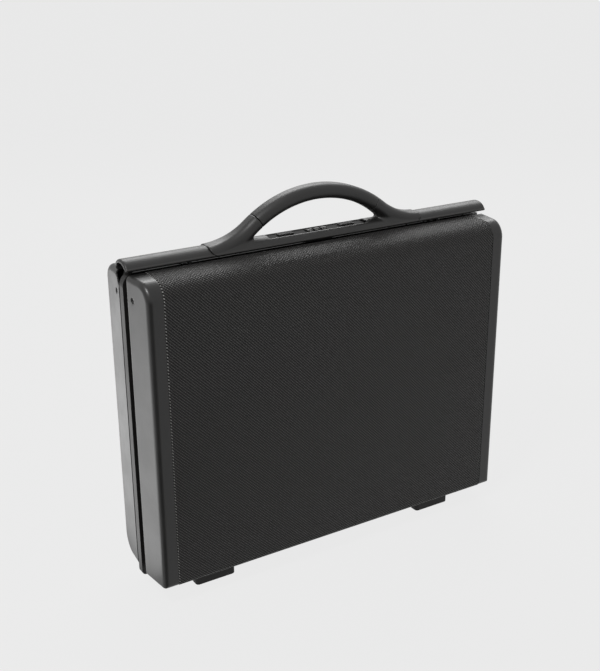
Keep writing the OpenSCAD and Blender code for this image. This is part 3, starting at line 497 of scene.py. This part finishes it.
pocket_finish, tree, shader = finish("pocket_leatherette", 0.55, specular=0.4)
here = put(tree, "TexCoord").outputs["Object"]
pores = put(tree, "TexVoronoi", {"Vector": here, "Scale": 900},
            feature="DISTANCE_TO_EDGE").outputs["Distance"]
creases = put(tree, "TexNoise", {"Vector": here, "Scale": 260, "Detail": 5}).outputs["Fac"]
grain = sums(tree, "ADD", ramp(tree, pores, 0.0, 0.18), sums(tree, "MULTIPLY", creases, 0.5))
tree.links.new(tint(tree, ramp(tree, grain, 0.3, 1.1), (0.012, 0.012, 0.014, 1), (0.035, 0.035, 0.038, 1)),
               shader.inputs["Base Color"])
tree.links.new(ramp(tree, grain, 0.3, 1.2, 0.65, 0.45), shader.inputs["Roughness"])
bump(tree, shader, grain, 0.0002, 0.7)
low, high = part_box("lid_pocket")
bm = bmesh.new()
columns, rows_up = 74, 43
width, height = high.x - low.x, high.z - low.z
skin, crown, margin, hem_height, hem_thick = 0.0014, 0.0016, 0.012, 0.014, 0.0007
grid = []
for i in range(columns + 1):
    line = []
    for j in range(rows_up + 1):
        x, z = low.x + width * i / columns, low.z + height * j / rows_up
        edge = min(x - low.x, high.x - x, z - low.z)
        puff = 1 - (1 - min(edge / margin, 1)) ** 2
        hem = hem_thick if high.z - z < hem_height else 0
        gather = 0.0003 * sin(x * 900) if hem else 0
        line.append(bm.verts.new((x, low.y + skin + crown * puff + hem + gather, z)))
    grid.append(line)
for i in range(columns):
    for j in range(rows_up):
        bm.faces.new((grid[i][j], grid[i + 1][j], grid[i + 1][j + 1], grid[i][j + 1]))
shell = bmesh.ops.extrude_face_region(bm, geom=bm.faces[:])
for vert in (g for g in shell["geom"] if isinstance(g, bmesh.types.BMVert)):
    vert.co.y = low.y
pocket = fit("document_pocket", bm, pocket_finish, "lid", "pocket", "lid_pocket")

# Stitches of the pocket, in grey thread along its two sides, its bottom and its hem
thread_finish, tree, shader = finish("grey_thread", 0.7, specular=0.3)
ply = put(tree, "TexWave", {"Vector": put(tree, "TexCoord").outputs["Object"], "Scale": 900}).outputs["Fac"]
tree.links.new(tint(tree, ply, (0.06, 0.06, 0.065, 1), (0.16, 0.16, 0.17, 1)), shader.inputs["Base Color"])
bm = bmesh.new()
six_angles = [k * pi / 3 for k in range(6)]


def wall_between(bm, rings):
    """Faces that join closed rings of vertices, each to the next."""
    for a, b in zip(rings, rings[1:]):
        for k in range(len(a)):
            j = (k + 1) % len(a)
            bm.faces.new((a[k], a[j], b[j], b[k]))


def stitch(bm, start, end):
    """One stitch: a short thread that rises out of the leatherette and dips back in."""
    start, end = Vector(start), Vector(end)
    run = end - start
    side = run.cross(Vector((0, 1, 0))).normalized() * 0.00035
    rings = []
    for t in (0, 0.25, 0.5, 0.75, 1):
        middle = start + run * t + Vector((0, 0.0004 * sin(pi * t) - 0.0001, 0))
        rings.append([bm.verts.new(middle + side * cos(a) + Vector((0, 0.0003 * sin(a), 0)))
                      for a in six_angles])
    wall_between(bm, rings)


def stitch_line(bm, start, end, y):
    """Row of stitches 2.6 mm long, 3.8 mm apart."""
    start, end = Vector((start[0], y, start[1])), Vector((end[0], y, end[1]))
    count = int((end - start).length / 0.0038)
    for k in range(count):
        a = start.lerp(end, (k + 0.15) / count)
        stitch(bm, a, a + (end - start).normalized() * 0.0026)


inset, hem_line = 0.006, high.z - 0.016
level = low.y + skin + crown * (1 - (1 - inset / margin) ** 2)
stitch_line(bm, (low.x + inset, low.z + inset), (high.x - inset, low.z + inset), level)
stitch_line(bm, (low.x + inset, low.z + inset), (low.x + inset, hem_line), level)
stitch_line(bm, (high.x - inset, low.z + inset), (high.x - inset, hem_line), level)
stitch_line(bm, (low.x + margin, hem_line), (high.x - margin, hem_line), low.y + 0.003)
fit("pocket_stitches", bm, thread_finish, "lid", "pocket")

# Hinge. Two pressed steel leaves with interleaved knuckles on one long pin, riveted to the strip and to
# the lid's frame under the case.
steel_grain, given, put_out = effect("Drawn steel", {"Streak": 0.0006}, ["Height", "Tarnish"])
where = put(steel_grain, "TexCoord").outputs["Object"]
drawn = put(steel_grain, "VectorMath", [where, (0.04, 1, 1)], operation="MULTIPLY").outputs[0]
streak_scale = sums(steel_grain, "DIVIDE", 1, given["Streak"])
streaks = put(steel_grain, "TexNoise", {"Vector": drawn, "Scale": streak_scale, "Detail": 3}).outputs["Fac"]
spots = put(steel_grain, "TexNoise", {"Vector": where, "Scale": 70, "Detail": 5}).outputs["Fac"]
steel_grain.links.new(streaks, put_out["Height"])
steel_grain.links.new(ramp(steel_grain, spots, 0.4, 0.75), put_out["Tarnish"])


def steel(name, bright, dull, roughness):
    """Plated steel: drawn streaks, duller spots and brighter edges, partly wear and partly a painted
    highlight.
    """
    material, tree, shader = finish(name, roughness, metallic=1.0)
    drawn = place_effect(tree, steel_grain)
    wear_and_highlight = place_effect(tree, edge_wear_and_highlight)["Wear"]
    plated = tint(tree, drawn["Tarnish"], shade(bright, 0.01), shade(dull, 0.03))
    # Edges painted brighter: partly wear, partly a painted highlight
    bright_edge = shade(min(bright * 1.2, 0.9), 0.01)
    tree.links.new(tint(tree, wear_and_highlight, plated, bright_edge), shader.inputs["Base Color"])
    tree.links.new(sums(tree, "ADD", roughness - 0.05, sums(tree, "MULTIPLY", drawn["Tarnish"], 0.15)),
                   shader.inputs["Roughness"])
    bump(tree, shader, drawn["Height"], 0.00002, 0.4)
    return material


steel_finish = steel("plated_steel", 0.5, 0.34, 0.32)
for node in ("base_hinge_leaf", "lid_hinge_leaf", "hinge_pin"):
    eased(node, steel_finish, "steel", 0.0002)


def turned(bm, profile, place, axis, sides=24):
    """Adds a turned solid: profile of (radius, height) from its foot to its tip along axis."""
    up = Vector(axis).normalized()
    right = up.orthogonal().normalized()
    other = up.cross(right)
    rings = []
    for radius, height in profile:
        centre = Vector(place) + up * height
        if radius < 1e-7:
            rings.append([bm.verts.new(centre)])
        else:
            rings.append([bm.verts.new(centre + (right * cos(2 * pi * k / sides)
                                                 + other * sin(2 * pi * k / sides)) * radius)
                          for k in range(sides)])
    for a, b in zip(rings, rings[1:]):
        for k in range(sides):
            j = (k + 1) % sides
            if len(a) == 1:
                bm.faces.new((a[0], b[j], b[k]))
            elif len(b) == 1:
                bm.faces.new((a[k], a[j], b[0]))
            else:
                bm.faces.new((a[k], a[j], b[j], b[k]))


def dome_head(radius, height):
    """Profile of a domed rivet head that starts a little under its seat."""
    dome = [(radius * cos(a), height * sin(a)) for a in (0, pi / 8, pi / 4, 3 * pi / 8)]
    return [(radius, -0.0002)] + dome + [(0, height)]


for body, y, facing in (("base", -0.0037, (0, -1, 0)), ("lid", -0.0095, (0, 1, 0))):
    bm = bmesh.new()
    for k in range(9):
        turned(bm, dome_head(0.0016, 0.0006), (-0.18 + 0.045 * k, y, 0.0312), facing)
    fit(body + "_hinge_rivets", bm, steel_finish, body, "steel")

# Feet. Four blocks of black rubber with rounded corners stand under the hinge side, two on each half.
# They are moulded with a dull grain.
rubber_finish = moulded("black_rubber", 0.012, 0.62, 0.0006, 0.00004, wear_and_highlight_gain=1.8, specular=0.35)
for body in ("lid", "base"):
    eased(body + "_feet", rubber_finish, "rubber", 0.0008)

# Handle body and rails. Three hollow mouldings on the strip: an inverted U with a beaded front lip and
# a rear wall down to the base. The middle one swells into the two flares that carry the grip.
rail_finish = moulded("rail_plastic", 0.014, 0.42, 0.0004, 0.00002)
middle_y, lip_z, arch_z = 1.5, 369.5, 286.9
post_y, post_r, post_low, post_high = 0.5, 2.6, 364.2, 373


def oval(y, z, half_w, h):
    """Distance to the rail's half oval about its lip, positive outside."""
    y, z = y - middle_y, z - lip_z
    q = np.sqrt((y / half_w) ** 2 + (z / h) ** 2) + 1e-9
    slope = np.sqrt((y / half_w ** 2) ** 2 + (z / h ** 2) ** 2) / q
    return (q - 1) / np.maximum(slope, 1 / half_w)


def round_or(a, b, r):
    """Either: the meeting corner is filled to r."""
    return -round_and(-a, -b, r)


def u_section(y, z):
    """Solid U of the rail with its bead and its rear wall, and the hollow under it."""
    roof = round_and(oval(y, z, 14, 9.3), lip_z - z, 0.6)
    bead = np.hypot(y + 12.1, z - 370.4) - 1.3
    wall = round_and(np.abs(y - 14.4) - 1.1, np.abs(z - 369) - 3.6, 0.3)
    hollow = np.where(z > lip_z, oval(y, z, 11.8, 7.1), np.abs(y - middle_y) - 11.8)
    return round_or(np.minimum(roof, wall), bead, 0.5), hollow


def seam(x, y, z, at):
    """Distance past the seam between handle body and rail, which curls inward at the front lip."""
    over = np.clip(1 - (z - lip_z) / 8.5, 0, 1)
    curl = 9 * (1 - np.sqrt(np.clip(1 - over ** 2, 0, 1))) * (y < middle_y)
    return np.abs(x) - (at - curl)


def with_posts(solid, x, y, z, first, second):
    """The solid and its two round screw posts, at x first and second."""
    posts = np.minimum(np.hypot(x - first, y - post_y), np.hypot(x - second, y - post_y)) - post_r
    return np.minimum(solid, np.maximum(np.maximum(posts, post_low - z), z - post_high))


def handle_field(x, y, z):
    """Handle body: the U, the two flares that rise to the grip, the recess and the posts."""
    solid, hollow = u_section(y, z)
    ax = np.abs(x)
    outer_r, inner_r, sweep_r, sweep_x, sweep_z, sweep_rise = 140.5, 123.9, 83, 139.15, 461.8, 174.9
    swept = ax * sweep_rise - (z - arch_z) * sweep_x > 0
    top = np.where(swept, sweep_r - np.hypot(ax - sweep_x, z - sweep_z), np.hypot(ax, z - arch_z) - outer_r)
    arch = np.maximum(top, inner_r - np.hypot(ax, z - arch_z))
    half_w = 11 + 3 * np.clip((ax - 84) / 50, 0, 1) ** 1.5
    r = 8.0
    arch_in, side_in = arch + r, np.abs(y - middle_y) - half_w + r
    corner = np.hypot(np.maximum(arch_in, 0), np.maximum(side_in, 0))
    flare = np.minimum(np.maximum(arch_in, side_in), 0) + corner - r
    flare = np.maximum(flare, 370.5 - z)
    fill = 4.5 - 4.0 * np.clip((ax - 86) / 26, 0, 1)
    flare = round_and(flare, 0.3 - ax * 0.8287 + (z - arch_z) * 0.5598, 0.7)
    solid = round_or(solid, flare, fill)
    recess = np.maximum(np.maximum(ax - 63, np.abs(y - middle_y) - 8), 372 - z)
    recess = np.maximum(recess, z - 384)
    solid = round_and(solid, -recess, 0.5)
    solid = np.maximum(solid, -np.maximum(hollow, 352 - z))
    solid = with_posts(solid, ax, y, z, 96, 121)
    return round_and(solid, seam(x, y, z, 134.75), 0.7)


def rail_field(x, y, z):
    """Right rail: the U with a rounded open end whose mouth is narrower than the hollow."""
    solid, hollow = u_section(y, z)
    solid = round_and(solid, x - 229.5, 2.4)
    mouth = np.where(z > lip_z, oval(y, z, 10.6, 5.7), np.abs(y - middle_y) - 10.6)
    cut = np.minimum(np.maximum(hollow, x - 226), mouth)
    solid = round_and(solid, -cut, 0.5)
    ribs_from, ribs_to, rib_spacing = 178, 224, 12
    ribs = np.abs((x - ribs_from) % rib_spacing - rib_spacing / 2) - 0.7
    ribs = np.maximum(ribs, np.maximum(ribs_from - x, x - ribs_to))
    ribs = np.maximum(ribs, np.maximum(oval(y, z, 12.5, 7.8), 374 - z))
    solid = with_posts(np.minimum(solid, ribs), x, y, z, 146, 204.5)
    return round_and(solid, -seam(x, y, z, 135.15), 0.7)


fine = 0.9
body_mesh = surface_net("handle_moulding", handle_field, (-137, -14, 363), (137, 17, 424), fine)
fit("handle_moulding", body_mesh, rail_finish, "base", "rail_plastic", "handle_body", sharp=60)
rail_mesh = surface_net("rail_moulding", rail_field, (124, -14, 363), (231.5, 17, 380.5), fine)
left_rail = other_hand(rail_mesh)
fit("rail_moulding_right", rail_mesh, rail_finish, "base", "rail_plastic", "rail_right", sharp=60)
fit("rail_moulding_left", left_rail, rail_finish, "base", "rail_plastic", "rail_left", sharp=60)

# Grip. A soft arched moulding over a steel strap, with a fine seam square to the arch at each flare. Its
# section is a flat rounded one, with the flares' own outline at the seams.
grip_finish = moulded("soft_grip_plastic", 0.014, 0.46, 0.0006, 0.00003, wear_and_highlight_gain=1.4)
bm = bmesh.new()
half_w, half_h, corner, grip_r = 11.0, 8.3, 8.0, 132.2
ring_shape = []
for cx, cz, start in ((half_w - corner, half_h - corner, 0), (corner - half_w, half_h - corner, pi / 2),
                      (corner - half_w, corner - half_h, pi),
                      (half_w - corner, corner - half_h, 3 * pi / 2)):
    turns = [start + k * pi / 16 for k in range(9)]
    ring_shape += [(cx + corner * cos(t), cz + corner * sin(t)) for t in turns]
half_run = 77.6
stations = [(-78.25, 0.55), (-78.1, 0.2), (-half_run, 0.0)]
stations += [(-half_run + 2 * half_run * k / 64, 0.0) for k in range(1, 64)]
stations += [(half_run, 0.0), (78.1, 0.2), (78.25, 0.55)]
rings = []
for along, ease in stations:
    ring = []
    for y, r in ring_shape:
        reach = hypot(y, r)
        y, r = y * (1 - ease / reach), r * (1 - ease / reach)
        radius = grip_r + r
        ring.append(bm.verts.new((radius * sin(along / grip_r) * 0.001, (middle_y + y) * 0.001,
                                  (arch_z + radius * cos(along / grip_r)) * 0.001)))
    rings.append(ring)
wall_between(bm, rings)
bm.faces.new(rings[0])
bm.faces.new(rings[-1])
fit("arched_grip", bm, grip_finish, "base", "grip_plastic", "handle_grip")
eased("handle_core", steel_finish, "steel", 0.0002)

# Combination lock. A plate in the deck's recess with slots for three number dials on one spindle, and a
# housing under it.
plate_finish = moulded("lock_plate_plastic", 0.008, 0.75, 0.0004, 0.00001, specular=0.2)
eased("lock_plate", plate_finish, "frame_plastic", 0.00025)
eased("lock_housing", frame_finish, "frame_plastic", 0.0002)
eased("lock_spindle", steel_finish, "steel", 0.0002)
dial_finish = moulded("dial_plastic", 0.008, 0.4, 0.0004, 0.00001, wear_and_highlight_gain=1.3)
digit_finish, tree, shader = finish("white_digit_paint", 0.5)
here = put(tree, "TexCoord").outputs["Object"]
chips = put(tree, "TexNoise", {"Vector": here, "Scale": 2500}).outputs["Fac"]
tree.links.new(tint(tree, chips, (0.3, 0.295, 0.28, 1), (0.42, 0.41, 0.39, 1)), shader.inputs["Base Color"])
for number, x in ((1, -0.009), (2, 0.0), (3, 0.009)):
    eased(f"dial_{number}", dial_finish, "dial_plastic", 0.0002, sharp=25)
    bm = bmesh.new()
    for k in range(10):
        curve = bpy.data.curves.new("digit", "FONT")
        curve.body = str(k)
        curve.size = 0.0029
        curve.align_x, curve.align_y = "CENTER", "CENTER"
        curve.extrude = 0.00008
        curve.resolution_u = 3
        pattern = bpy.data.objects.new("digit", curve)
        mesh = bpy.data.meshes.new_from_object(pattern)
        mesh.transform(Matrix(((-1, 0, 0, 0), (0, -1, 0, 0), (0, 0, 1, 0.00618), (0, 0, 0, 1))))
        mesh.transform(Matrix.Translation((x, 0.0015, 0.3716)) @ Matrix.Rotation(radians(36 * k), 4, "X"))
        bm.from_mesh(mesh)
        bpy.data.objects.remove(pattern)
        bpy.data.curves.remove(curve)
        bpy.data.meshes.remove(mesh)
    fit(f"dial_{number}_digits", bm, digit_finish, f"dial_{number}", "dial_plastic")

# Latches. Ridged thumb slides push steel rods outward under the rails against small coil springs, so that
# the hooks clear the lid's two keepers.
slide_finish = moulded("slide_plastic", 0.012, 0.6, 0.0004, 0.00001, specular=0.3)
screw_finish = steel("blackened_steel", 0.025, 0.015, 0.6)
for hand, sign in (("left", -1), ("right", 1)):
    eased(f"latch_button_{hand}", slide_finish, "dial_plastic", 0.00025)
    eased(f"latch_rod_{hand}", steel_finish, "steel", 0.00025)
    eased(f"keeper_{hand}", screw_finish, "steel", 0.0003)
    low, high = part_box(f"latch_spring_{hand}")
    centre = (low + high) / 2
    turns, per_turn, wire, radius = 9, 16, 0.0003, 0.0016
    bm = bmesh.new()
    rings = []
    for k in range(turns * per_turn + 1):
        angle = 2 * pi * k / per_turn
        share = k / (turns * per_turn)
        out = Vector((0, cos(angle), sin(angle)))
        reached = low.x + wire + (high.x - low.x - 2 * wire) * share
        middle = Vector((reached, centre.y, centre.z)) + out * radius
        rings.append([bm.verts.new(middle + out * wire * cos(a) + Vector((wire * sin(a), 0, 0)))
                      for a in six_angles])
    wall_between(bm, rings)
    bm.faces.new(rings[0])
    bm.faces.new(rings[-1])
    coil = fit(f"latch_coil_{hand}", bm, steel_finish, "base", "steel", f"latch_spring_{hand}", sharp=60)
    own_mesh(coil)

# Folding stays. On each side two flat steel arms, riveted to a bracket in the base and one in the lid, hold
# the opened lid.
for hand in ("left", "right"):
    for part in ("bracket_base", "bracket_lid", "arm_base", "arm_lid"):
        eased(f"stay_{part}_{hand}", steel_finish, "steel", 0.00025)

# Screws. Blackened cross-head screws hold the end caps from outside. Others go up through the frame into
# the posts of the rails and of the handle body.


def cross_head(bm, place, axis, radius, height, shank_r, shank_l):
    """Adds a screw: domed head with a pressed cross, seated at place and pointing along axis."""
    up = Vector(axis).normalized()
    right = up.orthogonal().normalized()
    other = up.cross(right)
    place = Vector(place)
    turns = [2 * pi * k / 32 for k in range(32)]

    def ring(r, h):
        return [bm.verts.new(place + up * h + (right * cos(t) + other * sin(t)) * r) for t in turns]

    a, b = radius * 0.62, radius * 0.17
    outline = [(b, b), (b, a), (-b, a), (-b, b), (-a, b), (-a, -b),
               (-b, -b), (-b, -a), (b, -a), (b, -b), (a, -b), (a, b)]
    rims = [ring(shank_r, -shank_l), ring(shank_r, 0), ring(radius, 0), ring(radius, height * 0.45),
            ring(radius * 0.9, height * 0.85), ring(radius * 0.75, height)]
    wall_between(bm, rims)
    bm.faces.new(rims[0])
    mouth = [bm.verts.new(place + up * height + right * x + other * y) for x, y in outline]
    floor = [bm.verts.new(place + up * height * 0.2 + right * x * 0.85 + other * y * 0.85)
             for x, y in outline]
    edges = []
    for loop in (rims[-1], mouth):
        for k in range(len(loop)):
            pair = (loop[k], loop[(k + 1) % len(loop)])
            edges.append(bm.edges.get(pair) or bm.edges.new(pair))
    bmesh.ops.triangle_fill(bm, use_beauty=True, edges=edges)
    wall_between(bm, [mouth, floor])
    bm.faces.new(floor)


for body, y, seat in (("lid", -0.021, 0.22675), ("base", 0.0188, 0.22663)):
    bm = bmesh.new()
    for sign in (-1, 1):
        cross_head(bm, (sign * seat, y, 0.342), (sign, 0, 0), 0.0026, 0.0008, 0.0015, 0.0085)
    fit(body + "_cap_screws", bm, screw_finish, body, "black_steel", body + "_screws")
head_height = 0.002
for name, node, places in (("rail_fixing_screws", "rail_screws", (0.146, 0.2045)),
                           ("handle_fixing_bolts", "handle_bolts", (0.096, 0.121))):
    bm = bmesh.new()
    low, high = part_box(node)
    for sign in (-1, 1):
        for x in places:
            cross_head(bm, (sign * x, 0.0005, low.z + head_height), (0, 0, -1), 0.0035, head_height, 0.0015,
                       high.z - low.z - head_height)
    fit(name, bm, screw_finish, "base", "black_steel", node)

# Studio. A pale floor and backdrop of one tone. A wide lamp on the floor at the rear left, which the camera
# doesn't see, lights that side, a second one shines from behind and above, and a small one grazes the face.
# In reflections the floor is darker to the front left.


def seen_rays(tree):
    """Light Path's outputs, and a socket that is 1 where the background itself is seen."""
    ray = put(tree, "LightPath").outputs
    mirrored = sums(tree, "MAXIMUM", ray["Is Glossy Ray"], ray["Is Transmission Ray"])
    return ray, sums(tree, "MAXIMUM", ray["Is Camera Ray"], mirrored)


floor_finish, tree, shader = finish("pale_floor", 0.9, specular=0.1)
tone = put(tree, "TexNoise", {"Scale": 3, "Detail": 2}).outputs["Fac"]
tree.links.new(tint(tree, tone, shade(0.822), shade(0.836)), shader.inputs["Base Color"])
ray, seen = seen_rays(tree)
from_case = put(tree, "VectorMath", [put(tree, "TexCoord").outputs["Object"], (-0.229, -0.053, 0)],
                operation="SUBTRACT").outputs[0]
toward = put(tree, "VectorMath", [put(tree, "VectorMath", [from_case], operation="NORMALIZE").outputs[0],
                                  (-0.485, -0.875, 0)], operation="DOT_PRODUCT").outputs["Value"]
dark = sums(tree, "MULTIPLY", ray["Is Glossy Ray"], ramp(tree, toward, 0.7, 0.94, 0.0, 0.85))
glow = put(tree, "Emission", {"Color": shade(0.835), "Strength": sums(tree, "SUBTRACT", 1, dark)})
mixed = put(tree, "MixShader", [sums(tree, "MULTIPLY", seen, 0.96), shader.outputs[0], glow.outputs[0]])
tree.links.new(mixed.outputs[0], tree.nodes["Material Output"].inputs["Surface"])
floor_mesh = bpy.data.meshes.new("floor")
reach = 14
floor_mesh.from_pydata([(-reach, -reach, 0), (reach, -reach, 0), (reach, reach, 0), (-reach, reach, 0)], [],
                       [(0, 1, 2, 3)])
floor_mesh.materials.append(floor_finish)
floor = bpy.data.objects.new("floor", floor_mesh)
bpy.context.scene.collection.objects.link(floor)

world = bpy.data.worlds.new("studio")
world.use_nodes = True
bpy.context.scene.world = world
tree = world.node_tree
sky = tree.nodes["Background"]
sky.inputs["Color"].default_value = shade(0.831)
ray, seen = seen_rays(tree)
tree.links.new(sums(tree, "ADD", 0.3, sums(tree, "MULTIPLY", seen, 0.7)), sky.inputs["Strength"])


def lamp(name, place, target, width, height, power):
    """Soft rectangular lamp that faces target."""
    data = bpy.data.lights.new(name, "AREA")
    data.shape, data.size, data.size_y, data.energy = "RECTANGLE", width, height, power
    made = bpy.data.objects.new(name, data)
    made.location = place
    made.rotation_mode = "QUATERNION"
    made.rotation_quaternion = (Vector(target) - Vector(place)).to_track_quat("-Z", "Y")
    bpy.context.scene.collection.objects.link(made)
    return made


lamp("floor_rear_left", (-0.6, 0.6, 0.004), (-0.6, 0.6, 1), 0.7, 1.2, 3.8).visible_camera = False
lamp("top_rear", (0.9, 1.3, 1.6), (0, 0, 0.36), 1.6, 0.9, 22)
lamp("graze_front", (-0.9, -0.5, 1.5), (0, -0.05, 0.25), 0.35, 0.35, 12)

# Camera, at the photograph's place: a three-quarter view of the lid's face from its left and from above,
# with the axes that a fit to the case's edges gave.
eye = bpy.data.cameras.new("camera")
eye.lens, eye.sensor_width = 57.137, 36
eye.clip_start, eye.clip_end = 0.05, 60
camera = bpy.data.objects.new("camera", eye)
right, down, ahead = ((0.852136, -0.523271, -0.007254), (-0.190952, -0.297996, -0.935273),
                      (0.487239, 0.798365, -0.353853))
stands = (-0.6039, -0.9531, 0.6795)
camera.matrix_world = Matrix([(right[k], -down[k], -ahead[k], stands[k]) for k in range(3)]
                             + [(0, 0, 0, 1)])
bpy.context.scene.collection.objects.link(camera)
bpy.context.scene.camera = camera
bpy.context.scene.view_settings.view_transform = "Standard"
